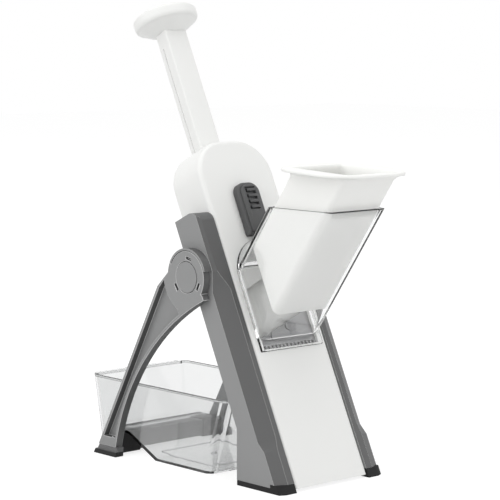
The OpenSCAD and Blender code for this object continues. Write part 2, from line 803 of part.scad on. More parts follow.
// Lock: the slider in front, its cam plate inside and the latch that it throws
lock_rivet_z = lock_stalk_z + lock_stalk_l / 2;
grip_slot = [10, 2.4];
module lock_slider() {
    color(dark) leaning() difference() {
        union() {
            forwards(-gap) linear_extrude(lock_proud - 3)
                arch(lock_w, lock_low, lock_low + lock_l, lock_w * 0.36);
            forwards(-gap) linear_extrude(lock_proud - gap)
                arch(lock_w - 5, lock_low + 2, lock_low + lock_l - 3, lock_w * 0.28);
            translate([-lock_stalk_w / 2, -over, lock_stalk_z])
                cube([lock_stalk_w, over + lock_plate_y, lock_stalk_l]);
        }
        for (k = [0:3]) translate([-grip_slot[0] / 2, -lock_proud - over, lock_low + lock_l - 9 - 5.4 * k])
            cube([grip_slot[0], 2.5 + over, grip_slot[1]]);
        translate([0, 0, lock_rivet_z]) rotate([-90, 0, 0]) cylinder(r = cam_pin_r, h = far);
    }
}
module lock_plate() {
    color(steel) leaning() backwards(lock_plate_y) linear_extrude(lock_plate_t) difference() {
        union() {
            translate([-lock_plate_w / 2, lock_stalk_z])
                square([lock_plate_w, latch_z + lock_plate_rim - lock_stalk_z]);
            translate([-lock_plate_w / 2, latch_z - lock_travel - lock_plate_rim])
                square([pin_x + lock_plate_w / 2 + lock_plate_rim, lock_travel + 2 * lock_plate_rim]);
        }
        translate([0, lock_rivet_z]) circle(cam_pin_r);
        cam_slot();
    }
}
// Slanting slot for the latch's pin, with round ends
module cam_slot() {
    r = cam_pin_r + gap;
    turn = atan2(lock_travel, latch_throw);
    translate([pin_x, latch_z]) polygon(concat(
        arc([0, 0], r, turn - 90, turn + 90),
        arc([-latch_throw, -lock_travel], r, turn + 90, turn + 270)));
}
module lock_rivet() {
    color(steel) leaning() translate([0, 0, lock_rivet_z]) rotate([-90, 0, 0])
        cylinder(r = cam_pin_r, h = lock_plate_y + lock_plate_t);
}
module latch_bolt() {
    color(grey) leaning() {
        translate([latch_x, latch_y, latch_z - latch_h / 2]) cube([latch_l, latch_d, latch_h]);
        translate([pin_x - 1.8, lock_plate_y + lock_plate_t + 2 * gap, latch_z - 2.5])
            cube([3.6, latch_y - lock_plate_y - lock_plate_t, 5]);
        translate([pin_x, lock_plate_y, latch_z]) rotate([-90, 0, 0]) cylinder(r = cam_pin_r, h = 4);
    }
}

// Tilted duct of the hopper and of the pusher, smaller all round by an inset
module duct(inset) {
    standing() rotate([duct_tilt, 0, 0]) translate([0, hopper_y + hopper_d / 2, -far / 2])
        linear_extrude(far) rounded(hopper_w - 2 * inset, hopper_d - 2 * inset, max(hopper_r - inset, 1.2));
}
// Everything behind a plane that lies parallel to the body's front face
module behind(y) leaning() translate([-far, y, -far]) cube([2 * far, far, 2 * far]);
// Everything above a height
module above(z) translate([-far, -far, z]) cube([2 * far, 2 * far, far]);

// Hopper: the duct between its level rim and the body's face, with a flange and a
// collar that enters the mouth
module feed_hopper() {
    color(clear) difference() {
        union() {
            difference() {
                duct(0);
                behind(-gap - flange_back / 2);
                above(rim_z);
            }
            leaning() {
                backwards(-gap - flange_back) linear_extrude(flange_back)
                    arch(mouth_w + 8, mouth_low - 2, mouth_top + 5, mouth_w / 2 + 4);
                backwards(-gap - flange_back / 2) linear_extrude(2.4 + flange_back / 2) difference() {
                    mouth_outline(gap);
                    mouth_outline(gap + 2);
                }
            }
        }
        duct(hopper_t);
    }
}

// The middle of the pusher's flange, with its tilt
module on_flange() {
    standing() translate([0, flange_front + flange_d / 2, flange_z + flange_t / 2])
        rotate([flange_tilt, 0, 0]) children();
}
// Pusher: a cup that slides in the hopper, open above, with a wide flange
module pusher_cup() {
    color(white) difference() {
        union() {
            difference() {
                duct(pusher_inset);
                behind(-pusher_gap);
                on_flange() translate([-far, -far, 0]) cube(2 * far);
            }
            on_flange() translate([0, 0, -flange_t / 2]) linear_extrude(flange_t) rounded(flange_w, flange_d, 12);
        }
        difference() {
            duct(pusher_inset + pusher_t);
            behind(-pusher_gap - pusher_t);
        }
    }
}

// Rear arm, drawn on the right
arm_arc = [arm_arc_y, arm_arc_z];
arm_arc_top = atan2(arm_front[1] - arm_arc_z, arm_front[0] - arm_arc_y);
arm_arc_low = asin((boot_h - arm_arc_z) / arm_arc_r);
module arm_outline() {
    polygon(concat(
        arc(hub, hub_r, lug_end, arm_front_turn), [arm_front],
        arc(arm_arc, arm_arc_r, arm_arc_top, arm_arc_low), [[arm_back_at(boot_h), boot_h], arm_shoulder],
        arc(hub, guard_r, lug_low, lug_end)));
}
module arm_hollow_outline() {
    difference() {
        polygon([hub, arm_top + arm_rim * arm_side, arm_shoulder + arm_rim * arm_side,
            heel + arm_rim * arm_side, [arm_arc_y, 0]]);
        translate(arm_arc) circle(arm_arc_r + 7, $fn = 256);
        translate(hub) circle(hub_r + 8);
        translate([0, -far]) square([far, far + boot_h + 8.5]);
    }
}
hub_slots = [100, 205, 325];
module rear_arm() {
    color(grey) standing() difference() {
        across(arm_in) linear_extrude(arm_t) arm_outline();
        across(arm_out - arm_hollow) linear_extrude(arm_hollow + over) arm_hollow_outline();
        across(arm_in - over) linear_extrude(arm_t + 2 * over) translate(hub) circle(pin_r + run);
        across(arm_out - cap_t - gap) linear_extrude(far) translate(hub) circle(cap_r + gap);
        for (a = hub_slots) across(arm_out - 3) linear_extrude(3 + over)
            translate(hub) rotate(a) translate([cap_r + gap + 1.2, -3.5]) square([2.4, 7]);
        across(arm_in - over) linear_extrude(5 + over) translate(peg_spot) circle(peg_hole_r);
    }
}
module left_rear_arm() mirror([1, 0, 0]) rear_arm();
module right_rear_arm() rear_arm();

// Crossbar between the arms, with a collar pegged into each arm
peg_spot = [bar_y + bar_d / 2, bar_low + bar_h - 4.5];
peg_hole_r = 3;
bar_half = arm_in - collar_l + 4;
module crossbar() {
    color(grey) standing() translate([-bar_half, bar_y, bar_low]) cube([2 * bar_half, bar_d, bar_h]);
}
module crossbar_collar() {
    color(black) standing() {
        difference() {
            translate([arm_in - collar_l, collar_front, bar_low])
                cube([collar_l, collar_back - collar_front, collar_top - bar_low]);
            translate([0, bar_y, bar_low - over]) cube([bar_half, bar_d, bar_h + over]);
        }
        across(arm_in) linear_extrude(4.6) translate(peg_spot) circle(peg_hole_r);
    }
}
module left_crossbar_collar() mirror([1, 0, 0]) crossbar_collar();
module right_crossbar_collar() crossbar_collar();

// Rubber boot under an arm, in two steps
module rear_boot() {
    color(black) standing() {
        across(arm_in) linear_extrude(arm_t) polygon([
            [arm_front_at(boot_h), boot_h], [arm_front_at(0) - 1, 0], [arm_back_at(0) + 1, 0],
            [arm_back_at(boot_h), boot_h]]);
        across(arm_in) linear_extrude(arm_t + 1.2) polygon([
            [arm_front_at(0) - 1, 0], [arm_back_at(0) + 2.4, 0], [arm_back_at(boot_h / 2) + 2, boot_h / 2],
            [arm_front_at(boot_h / 2) - 0.6, boot_h / 2]]);
    }
}
module left_rear_boot() mirror([1, 0, 0]) rear_boot();
module right_rear_boot() rear_boot();

// Bin: an open tray that narrows downwards, with a tunnel over the crossbar
module bin_form(inset, floor_z, top) {
    hull() {
        translate([0, (bin_floor_front + bin_floor_back) / 2, floor_z]) linear_extrude(skin)
            rounded(bin_floor_w - 2 * inset, bin_floor_back - bin_floor_front - 2 * inset, 8 - inset, $fn = 32);
        translate([0, (bin_rim_front + bin_rim_back) / 2, bin_h - skin + top]) linear_extrude(skin)
            rounded(bin_rim_w - 2 * inset, bin_rim_back - bin_rim_front - 2 * inset, 8 - inset, $fn = 32);
    }
}
module tunnel(t) {
    rise = tunnel_top + t;
    across(-far) linear_extrude(2 * far) polygon([
        [tunnel_front - t - (rise + over) / tunnel_slope, -over], [tunnel_front - t / 2, rise],
        [tunnel_back + t, rise], [tunnel_back + t, -over]]);
}
module collection_bin() {
    color(clear) standing() difference() {
        union() {
            bin_form(0, bin_low, 0);
            translate([0, y_back - bin_lip, bin_h - bin_t - 0.7]) linear_extrude(bin_t + 0.7)
                rounded(bin_rim_w - 11, 2 * bin_lip, 5);
        }
        difference() {
            bin_form(bin_t, bin_low + bin_t, skin / 2);
            tunnel(bin_t);
        }
        tunnel(0);
    }
}

// Stop plate that sets the slice's thickness, with its screwed spindle and knob
module stop_plate() {
    color(white) leaning() difference() {
        union() {
            translate([-stop_w / 2, stop_y, stop_low]) cube([stop_w, stop_t, stop_high - stop_low]);
            translate([0, stop_y, dial_z]) rotate([-90, 0, 0])
                cylinder(r = spindle_r + 3, h = stop_t + boss_l);
            for (x = [-peg_x, peg_x]) translate([x, stop_y, dial_z])
                rotate([-90, 0, 0]) cylinder(r = peg_r, h = stop_t + 17);
        }
        translate([0, stop_y + stop_t, dial_z]) rotate([-90, 0, 0])
            cylinder(r = spindle_r + run, h = boss_l + over);
    }
}
module thickness_spindle() {
    color(steel) leaning() translate([0, stop_y + stop_t + draw_back + 1, dial_z]) rotate([-90, 0, 0]) {
        l = body_d + 7 - stop_y - stop_t - draw_back - 1;
        cylinder(r = spindle_r, h = l);
        translate([0, 0, l - 7 - shell_t - 3.4]) cylinder(r = spindle_r + 2, h = 3);
    }
}
module thickness_knob() {
    color(dark) leaning() translate([0, body_d + gap, dial_z]) rotate([-90, 0, 0]) difference() {
        cylinder(r = knob_r, h = 10);
        translate([0, 0, -over]) cylinder(r = spindle_r, h = over + 7 - gap);
        for (a = [0:30:330]) rotate([0, 0, a]) translate([knob_r + 1, 0, 2]) cylinder(r = 2, h = 10);
    }
}

front_shell();
rear_shell();
shell_screws();
left_side_frame();
right_side_frame();
frame_screws();
left_front_foot();
right_front_foot();
left_pivot_pin();
right_pivot_pin();
left_pivot_cap();
right_pivot_cap();
blade_guard();
shear_plate();
shear_rivets();
slice_chute();
upper_rod_bracket();
lower_rod_bracket();
guide_rods();
latch_guide();
left_return_spring();
right_return_spring();
plunger_stem();
grip_base();
grip_cap();
crosshead();
crosshead_screws();
blade_carrier();
slicing_blade();
blade_rivets();
lock_slider();
lock_plate();
lock_rivet();
latch_bolt();
feed_hopper();
pusher_cup();
left_rear_arm();
right_rear_arm();
crossbar();
left_crossbar_collar();
right_crossbar_collar();
left_rear_boot();
right_rear_boot();
collection_bin();
stop_plate();
thickness_spindle();
thickness_knob();
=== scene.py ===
import json
import math
import bmesh
import bpy
import numpy as np
from mathutils import Matrix, Vector


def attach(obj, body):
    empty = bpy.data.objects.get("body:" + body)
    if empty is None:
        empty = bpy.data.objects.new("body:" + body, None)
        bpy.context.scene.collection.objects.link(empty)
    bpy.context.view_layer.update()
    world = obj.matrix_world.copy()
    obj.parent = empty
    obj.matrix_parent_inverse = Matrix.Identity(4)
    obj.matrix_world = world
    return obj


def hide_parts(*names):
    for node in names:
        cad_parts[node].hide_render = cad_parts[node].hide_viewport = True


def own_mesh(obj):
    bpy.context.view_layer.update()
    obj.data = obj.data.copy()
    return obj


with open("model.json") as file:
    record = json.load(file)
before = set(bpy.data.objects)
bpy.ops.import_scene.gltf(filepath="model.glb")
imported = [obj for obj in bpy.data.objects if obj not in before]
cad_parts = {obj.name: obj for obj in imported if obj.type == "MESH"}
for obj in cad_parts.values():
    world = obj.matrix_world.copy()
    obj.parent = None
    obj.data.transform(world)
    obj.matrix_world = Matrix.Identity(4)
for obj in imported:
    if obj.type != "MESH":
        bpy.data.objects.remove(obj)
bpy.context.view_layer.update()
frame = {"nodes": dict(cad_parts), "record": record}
scene = bpy.context.scene
scene.view_settings.view_transform = "Standard"
mm = 0.001
sides = {"left": -1, "right": 1}
bodyOf = {n: b for b, ns in frame["record"]["behaviour"]["bodies"].items() for n in ns}
slotOf = {s["node"]: s["material_slot"] for s in frame["record"]["subparts"]}
print("slicer: frame loaded,", len(frame["nodes"]), "nodes")


def cosSin(degrees):
    return math.cos(math.radians(degrees)), math.sin(math.radians(degrees))


# the body leans back; its own axes are x across, y back from the front face, z up the body
stance = {"lean": 25.35, "shift": -107.5}
leanCos, leanSin = cosSin(stance["lean"])
bodyUp = (0.0, leanSin, leanCos)


def leaned(p):  # body axes in millimetres to the object's frame in metres
    p = np.asarray(p, float)
    y = p[..., 1] * leanCos + p[..., 2] * leanSin + stance["shift"]
    z = p[..., 2] * leanCos - p[..., 1] * leanSin
    return np.stack([p[..., 0], y, z], -1) * mm


class Sock:  # one socket of a shader, with sums written as sums
    def __init__(self, tree, out):
        self.tree, self.out = tree, out

    def node(self, kind, sets=None, out=0, **ins):  # "i0" is input 0, others go by name
        n = self.tree.nodes.new(kind)
        for k, v in (sets or {}).items():
            setattr(n, k, v)
        for k, v in ins.items():
            i = n.inputs[int(k[1:])] if k[0] == "i" and k[1:].isdigit() else n.inputs[k.replace("_", " ")]
            if isinstance(v, Sock):
                self.tree.links.new(v.out, i)
            else:
                i.default_value = v
        return Sock(self.tree, n.outputs[out]) if len(n.outputs) else None

    def maths(self, op, a, b):
        return self.node("ShaderNodeMath", {"operation": op}, i0=a, i1=b)

    def __add__(self, o):
        return self.maths("ADD", self, o)

    def __radd__(self, o):
        return self.maths("ADD", o, self)

    def __sub__(self, o):
        return self.maths("SUBTRACT", self, o)

    def __rsub__(self, o):
        return self.maths("SUBTRACT", o, self)

    def __mul__(self, o):
        return self.maths("MULTIPLY", self, o)

    def __rmul__(self, o):
        return self.maths("MULTIPLY", o, self)

    def __pow__(self, o):
        return self.maths("POWER", self, o)

    def __rpow__(self, o):
        return self.maths("POWER", o, self)

    def above(self, o):
        return self.maths("GREATER_THAN", self, o)

    def blend(self, a, b):  # colour a where this is 0, colour b where it is 1
        return self.node("ShaderNodeMix", {"data_type": "RGBA"}, out=2, i0=self,
                         i6=a if isinstance(a, Sock) else (*a, 1), i7=b if isinstance(b, Sock) else (*b, 1))


def newFinish(name):
    mat = bpy.data.materials.new(name)
    mat.use_nodes = True
    mat.node_tree.nodes.clear()
    s = Sock(mat.node_tree, None)
    return mat, s, s.node("ShaderNodeTexCoord", out=3)


def closeFinish(s, shader):
    s.node("ShaderNodeOutputMaterial", Surface=shader)


def grain(s, at, scale, detail, rough=0.5):
    return s.node("ShaderNodeTexNoise", {"noise_dimensions": "3D"}, Vector=at, Scale=scale, Detail=detail,
                  Roughness=rough)


def roughened(s, look, height):
    return s.node("ShaderNodeBump", Strength=look["bump"], Distance=look["bumpDepth"], Height=height)


def mouldedFinish(name, look):
    # moulded plastic: a slow drift of tone, a fine grain in the bump and in the gloss; where a painted shade
    # tone is given, painted shade on the faces that don't look to the side
    mat, s, at = newFinish(name)
    drift = grain(s, at, look["driftScale"], 2.0)
    fine = grain(s, at, look["grainScale"], 2.0, 0.6)
    colour = drift.blend(look["dark"], look["light"])
    if "paintedShadeTone" in look:  # attribute "side": 1 on the faces that look to either side, 0 on the rest, which get painted shade
        paintedShadeColour = drift.blend(*[[c * look["paintedShadeTone"] for c in look[k]] for k in ("dark", "light")])
        colour = s.node("ShaderNodeAttribute", {"attribute_name": "side"}, out=2).blend(paintedShadeColour, colour)
    rough = look["rough"] + (fine - 0.5) * look["roughSpread"] + (drift - 0.5) * look["roughSpread"]
    closeFinish(s, s.node("ShaderNodeBsdfPrincipled", Base_Color=colour, Roughness=rough,
                          Normal=roughened(s, look, fine), Specular_IOR_Level=look["specular"]))
    return mat


whiteLook = {"dark": (0.83, 0.835, 0.82), "light": (0.86, 0.862, 0.848), "driftScale": 9.0,
             "grainScale": 1400.0, "rough": 0.34, "roughSpread": 0.08, "bump": 0.05, "bumpDepth": 0.0002,
             "specular": 0.5}
# painted light: the shell's white made lighter for the pusher, which stands in shade inside the clear hopper
paintedLightWhiteLook = dict(whiteLook, dark=(0.915, 0.918, 0.895), light=(0.935, 0.937, 0.918), rough=0.4)
# the grey pieces: faces that don't look to the side keep only a fraction of the colour, as painted shade
greyLook = {"dark": (0.255, 0.257, 0.258), "light": (0.285, 0.287, 0.288), "driftScale": 12.0,
            "grainScale": 2200.0, "rough": 0.5, "roughSpread": 0.12, "bump": 0.2, "bumpDepth": 0.0003,
            "specular": 0.45, "paintedShadeTone": 0.39}
# painted highlight: a lighter grey for the rounds of the grey pieces' edges, with a little painted shade on
# those that don't look to the side
edgeHighlightLook = dict(greyLook, dark=(0.6, 0.602, 0.603), light=(0.68, 0.682, 0.683), rough=0.42, paintedShadeTone=0.9)
darkLook = {"dark": (0.066, 0.067, 0.068), "light": (0.082, 0.083, 0.084), "driftScale": 16.0,
            "grainScale": 2600.0, "rough": 0.45, "roughSpread": 0.1, "bump": 0.16, "bumpDepth": 0.0002,
            "specular": 0.45}
# painted light: the blade carrier and guard painted near white, to lift the shade inside the mouth
platePaintedLightLook = dict(darkLook, dark=(0.86, 0.86, 0.85), light=(0.89, 0.89, 0.88))
rubberLook = {"dark": (0.008, 0.008, 0.009), "light": (0.014, 0.014, 0.014), "driftScale": 30.0,
              "grainScale": 1800.0, "rough": 0.72, "roughSpread": 0.15, "bump": 0.3, "bumpDepth": 0.0003,
              "specular": 0.3}
whiteShell = mouldedFinish("whiteShell", whiteLook)
paintedLightWhite = mouldedFinish("paintedLightWhite", paintedLightWhiteLook)
greyFrame = mouldedFinish("greyFrame", greyLook)
paintedEdgeHighlight = mouldedFinish("paintedEdgeHighlight", edgeHighlightLook)  # edges of the grey pieces: a painted highlight, lighter than the grey
darkPlastic = mouldedFinish("darkPlastic", darkLook)
innerPlatePaintedLight = mouldedFinish("innerPlatePaintedLight", platePaintedLightLook)
blackRubber = mouldedFinish("blackRubber", rubberLook)


def bootFinish(name, look):
    # moulded grey step over a black rubber sole, parted at one height
    mat, s, at = newFinish(name)
    fine = grain(s, at, look["grainScale"], 2.0, 0.6)
    upper = s.node("ShaderNodeSeparateXYZ", out=2, Vector=at).above(look["sole"])
    sole, step = fine.blend(rubberLook["dark"], rubberLook["light"]), fine.blend(look["dark"], look["light"])
    closeFinish(s, s.node("ShaderNodeBsdfPrincipled", Base_Color=upper.blend(sole, step),
                          Roughness=rubberLook["rough"] - upper * look["gloss"],
                          Normal=roughened(s, look, fine), Specular_IOR_Level=look["specular"]))
    return mat


bootLook = {"dark": (0.12, 0.12, 0.122), "light": (0.15, 0.15, 0.152), "sole": 0.0042, "grainScale": 1800.0,
            "bump": 0.25, "bumpDepth": 0.0003, "gloss": 0.2, "specular": 0.4}
bootSole = bootFinish("bootSole", bootLook)


def clearFinish(name, look):
    # clear moulding: refracts, with faint flow marks in its gloss; light for shadows goes through it
    mat, s, at = newFinish(name)
    flow = grain(s, at, look["flowScale"], 2.0)
    fine = grain(s, at, look["scuffScale"], 4.0)
    rough = look["rough"] + (fine - 0.5) * look["roughSpread"]
    edge = s.node("ShaderNodeLayerWeight", out=1, Blend=0.5) ** look["edgePower"]  # painted shade: walls seen end on are painted darker, standing in for refraction
    tint = edge.blend(flow.blend(look["tintA"], look["tintB"]), look["paintedEdgeShade"])
    clear = s.node("ShaderNodeBsdfPrincipled", Base_Color=tint, Roughness=rough, Transmission_Weight=1.0,
                   IOR=look["ior"], Normal=roughened(s, look, flow))
    through = s.node("ShaderNodeBsdfTransparent", Color=(*look["shade"], 1))
    shadow = s.node("ShaderNodeLightPath", out=1)
    closeFinish(s, s.node("ShaderNodeMixShader", i0=shadow, i1=clear, i2=through))
    return mat


clearLook = {"tintA": (0.972, 0.974, 0.974), "tintB": (0.985, 0.987, 0.987), "flowScale": 14.0,
             "scuffScale": 300.0, "rough": 0.03, "roughSpread": 0.03, "bump": 0.04, "bumpDepth": 0.0006,
             "ior": 1.45, "shade": (0.9, 0.905, 0.91), "edgePower": 9.0, "paintedEdgeShade": (0.16, 0.16, 0.16)}
binLook = dict(clearLook, tintA=(0.79, 0.795, 0.795), tintB=(0.82, 0.825, 0.825), paintedEdgeShade=(0.3, 0.3, 0.3),
               flowScale=9.0, bump=0.06)
clearPlastic = clearFinish("clearPlastic", clearLook)
binPlastic = clearFinish("binPlastic", binLook)


def steelFinish(name, look):
    # rolled steel: long fine streaks along one axis
    mat, s, at = newFinish(name)
    stretch = s.node("ShaderNodeMapping", Vector=at, Scale=look["streak"])
    streaks = grain(s, stretch, look["scale"], 4.0)
    closeFinish(s, s.node("ShaderNodeBsdfPrincipled", Base_Color=streaks.blend(look["dark"], look["light"]),
                          Roughness=look["rough"] + (streaks - 0.5) * look["roughSpread"], Metallic=1.0,
                          Normal=roughened(s, look, streaks)))
    return mat


steelLook = {"dark": (0.46, 0.47, 0.48), "light": (0.62, 0.63, 0.64), "streak": (1.0, 30.0, 30.0),
             "scale": 60.0, "rough": 0.3, "roughSpread": 0.2, "bump": 0.1, "bumpDepth": 0.0001}
shearLook = dict(steelLook, dark=(0.25, 0.25, 0.255), light=(0.33, 0.33, 0.335), rough=0.45)
rolledSteel = steelFinish("rolledSteel", steelLook)
shearSteel = steelFinish("shearSteel", shearLook)
finishOf = {"white_plastic": whiteShell, "grey_plastic": greyFrame, "dark_plastic": darkPlastic,
            "rubber": blackRubber, "clear_plastic": clearPlastic, "steel": rolledSteel}
print("slicer: finishes made")


def place(name, mesh, body, slot, stands=(), finish=None):
    mesh.materials.clear()
    mesh.materials.append(finish or finishOf[slot])
    obj = bpy.data.objects.new(name, mesh)
    scene.collection.objects.link(obj)
    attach(obj, body)
    if stands:
        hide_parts(*stands)
    return obj


def shadeByAngle(mesh, degrees):
    mesh.shade_smooth()
    mesh.set_sharp_from_angle(angle=math.radians(degrees))


def brokenEdges(obj, width, degrees, steps=3):
    m = obj.modifiers.new("edges", "BEVEL")
    m.width, m.segments, m.limit_method, m.angle_limit = width * mm, steps, "ANGLE", math.radians(degrees)
    return m


# copies of solids: distances in metres, an angle in degrees, and how far across a sideways normal points
copying = {"merge": 2e-6, "sliver": 1e-6, "flat": 0.4, "sideways": 0.95, "weight": 80}


def sideFaces(mesh):  # marks the faces that look straight to either side
    across = np.empty(len(mesh.polygons) * 3)
    mesh.polygons.foreach_get("normal", across)
    mark = mesh.attributes.get("side") or mesh.attributes.new("side", "FLOAT", "FACE")
    mark.data.foreach_set("value", (np.abs(across[::3]) > copying["sideways"]).astype(np.float32))


def softened(node, bevel, degrees=40.0, finish=None, edge=None):
    # a merged copy of a solid's mesh, its edges broken by a small round that may have its own finish, a
    # painted highlight
    mesh = frame["nodes"][node].data.copy()
    b = bmesh.new()
    b.from_mesh(mesh)
    bmesh.ops.remove_doubles(b, verts=b.verts, dist=copying["merge"])
    bmesh.ops.dissolve_degenerate(b, edges=b.edges, dist=copying["sliver"])
    bmesh.ops.dissolve_limit(b, angle_limit=math.radians(copying["flat"]), verts=b.verts, edges=b.edges)
    b.to_mesh(mesh)
    b.free()
    shadeByAngle(mesh, degrees)
    sideFaces(mesh)
    obj = place(node + "Skin", mesh, bodyOf[node], slotOf[node], (node,), finish)
    if bevel:
        m = brokenEdges(obj, bevel, degrees)
        m.use_clamp_overlap, m.miter_outer = True, "MITER_ARC"
        if edge:
            obj.data.materials.append(edge)
            m.material = 1
    m = obj.modifiers.new("flats", "WEIGHTED_NORMAL")
    m.keep_sharp, m.weight = True, copying["weight"]
    return obj


def gridMesh(name, p, ringClosed=True, loopClosed=False, caps=False):
    # quads over an array of points [rings, points on a ring, 3]
    rings, n = p.shape[:2]
    i = np.arange(rings * n).reshape(rings, n)
    u = np.concatenate([i, i[:1]]) if loopClosed else i
    v = np.concatenate([u, u[:, :1]], 1) if ringClosed else u
    quads = np.stack([v[:-1, :-1], v[:-1, 1:], v[1:, 1:], v[1:, :-1]], -1).reshape(-1, 4)
    faces = quads.tolist()
    if caps:
        faces += [i[0, ::-1].tolist(), i[-1].tolist()]
    mesh = bpy.data.meshes.new(name)
    mesh.from_pydata(p.reshape(-1, 3), [], faces)
    mesh.update()
    b = bmesh.new()
    b.from_mesh(mesh)
    bmesh.ops.recalc_face_normals(b, faces=b.faces)
    b.to_mesh(mesh)
    b.free()
    return mesh


def roundedLoop(w, d, r, each=8, between=0):
    # a rectangle with round corners: an arc of equal steps at each corner, then points along the side
    a = np.linspace(0, math.pi / 2, each)
    corner = np.stack([np.cos(a), np.sin(a)], -1) * r
    out = []
    for sx, sy, k in ((1, 1, 0), (-1, 1, 1), (-1, -1, 2), (1, -1, 3)):
        c, s = math.cos(k * math.pi / 2), math.sin(k * math.pi / 2)
        out.append(corner @ np.array([[c, s], [-s, c]]) + np.array([sx * (w / 2 - r), sy * (d / 2 - r)]))
    t = np.linspace(0, 1, between + 2)[1:-1, None]
    runs = [here[-1] + (there[0] - here[-1]) * t for here, there in zip(out, out[1:] + out[:1])]
    return np.concatenate([part for pair in zip(out, runs) for part in pair])


def roundOver(radius, count=4):  # pairs (in from the side, down from the top) round a quarter turn
    a = np.linspace(0, math.pi / 2, count)
    return np.stack([radius * (1 - np.cos(a)), radius * (1 - np.sin(a))], -1)


def blendRings(a, b, count=9):  # rings between two rings, both ends left out
    t = np.linspace(0, 1, count + 2)[1:-1, None, None]
    return list(a + (b - a) * t)


def tubeMesh(name, path, radius, along, around=10):
    # a circle carried along a path; one of its axes is square to the path and to "along"
    t = np.gradient(path, axis=0)
    t /= np.linalg.norm(t, axis=1, keepdims=True)
    side = np.cross(t, along)
    side /= np.linalg.norm(side, axis=1, keepdims=True)
    up = np.cross(side, t)
    a = np.linspace(0, 2 * math.pi, around, endpoint=False)
    ring = np.cos(a)[None, :, None] * side[:, None] + np.sin(a)[None, :, None] * up[:, None]
    return gridMesh(name, path[:, None] + radius * ring, caps=True)


# tilted duct: loops lie square to its own axis and are cut level, or parallel to the body's front
duct = {"tilt": 35.4, "wide": 67.0, "deep": 60.2, "near": 111.4, "corner": 5.0, "tightest": 4.8,
        "each": 10, "between": 12}
ductCos, ductSin = cosSin(duct["tilt"])
bothCos, bothSin = leanCos * ductCos - leanSin * ductSin, leanSin * ductCos + leanCos * ductSin


def ductLoop(inset):  # a rounded rectangle of points (x, v) square to the axis
    c = max(duct["corner"] - inset, duct["tightest"])
    loop = roundedLoop(duct["wide"] - 2 * inset, duct["deep"] - 2 * inset, c, duct["each"], duct["between"])
    return loop + [0, duct["near"] + duct["deep"] / 2]


def ductPoints(loop, along):  # y = v cos t - w sin t, z = v sin t + w cos t for a point v across and w along
    y = loop[:, 1] * ductCos - along * ductSin + stance["shift"]
    return np.stack([loop[:, 0], y, loop[:, 1] * ductSin + along * ductCos], -1) * mm


def ductLevel(inset, z):  # carried along to the height z: w = (z - v sin t) / cos t
    loop = ductLoop(inset)
    return ductPoints(loop, (z - loop[:, 1] * ductSin) / ductCos)


def ductFront(inset, y):  # carried along to y behind the body's front: w = (v cos both - y) / sin both
    loop = ductLoop(inset)
    return ductPoints(loop, (loop[:, 1] * bothCos - y) / bothSin)


# hopper: inner wall up, over the rim, outer wall down, along the flange, round its edge, back to the throat
hopper = {"wall": 2.4, "rim": 230.0, "round": 0.9, "front": -2.8, "back": -0.4, "half": 35.0, "low": 120.0,
          "centre": 184.0, "around": (0.0, 165.0), "edge": 0.7, "fillet": 1.6}


def archRing(h, inset, y):
    # where rays through the duct's loop meet a rectangle with a round top
    half, low, middle = h["half"] - inset, h["low"] + inset, h["around"][1]
    face = ductFront(0.0, y) / mm
    up = (face[:, 1] - stance["shift"]) * leanSin + face[:, 2] * leanCos
    q = np.stack([face[:, 0], up], -1) - h["around"]
    q /= np.linalg.norm(q, axis=1, keepdims=True)
    side = half / np.maximum(np.abs(q[:, 0]), 1e-9)
    foot = np.where(q[:, 1] < 0, (low - middle) / np.minimum(q[:, 1], -1e-9), 1e9)
    o = middle - h["centre"]
    top = -q[:, 1] * o + np.sqrt(np.maximum(q[:, 1] ** 2 * o * o - o * o + half * half, 0))
    t = np.where(middle + q[:, 1] * side > h["centre"], top, np.minimum(side, foot))
    return leaned(np.stack([q[:, 0] * t, np.full(len(t), y), middle + q[:, 1] * t], -1))


def hopperRings(h):
    rise = roundOver(h["round"])
    inner = [ductLevel(h["wall"] - i, h["rim"] - d) for i, d in rise]
    outer = [ductLevel(i, h["rim"] - d) for i, d in rise[::-1]]
    throat = [ductFront(h["wall"], h["back"])]
    toe = [ductFront(-i, h["front"] - d) for i, d in roundOver(h["fillet"])]
    rim = [archRing(h, i, h["front"] + d) for i, d in roundOver(h["edge"])[::-1]]
    rear = [archRing(h, 0.0, h["back"])]
    up, down = blendRings(throat[0], inner[0]), blendRings(outer[-1], toe[0])
    return np.stack(throat + up + inner + outer + down + toe + rim + rear)


hopperMesh = gridMesh("feedHopper", hopperRings(hopper), loopClosed=True)
shadeByAngle(hopperMesh, 35)
place("feedHopper", hopperMesh, bodyOf["feed_hopper"], "clear_plastic", ("feed_hopper",))

# pusher: floor, outer wall up to the flange, round the flange's edge, over its brim, down the rounded throat
pusher = {"inset": 3.2, "wall": 2.2, "floor": -24.0, "under": 259.5, "thick": 3.0, "wide": 92.0, "deep": 88.0,
          "front": -53.0, "corner": 32.0, "edge": 1.2, "throat": (4.5, 14.0), "toe": 0.8, "neck": 5.0,
          "tilt": 2.6}
flangeCos, flangeSin = cosSin(pusher["tilt"])
flangeAt = pusher["front"] + pusher["deep"] / 2, pusher["under"] + pusher["thick"] / 2


def flangeRing(p, inset, up):  # a rounded rectangle in the flange's own tilted plane, "up" from its middle
    w, d, r = p["wide"] - 2 * inset, p["deep"] - 2 * inset, p["corner"] - inset
    loop = roundedLoop(w, d, r, duct["each"], duct["between"])
    y = flangeAt[0] + loop[:, 1] * flangeCos - up * flangeSin + stance["shift"]
    return np.stack([loop[:, 0], y, flangeAt[1] + loop[:, 1] * flangeSin + up * flangeCos], -1) * mm


def ductTilted(inset, up):  # the duct's loop cut by that plane
    loop = ductLoop(inset)
    v = loop[:, 1]
    along = up + flangeSin * (v * ductCos - flangeAt[0]) - flangeCos * (v * ductSin - flangeAt[1])
    return ductPoints(loop, along / (ductCos * flangeCos + ductSin * flangeSin))


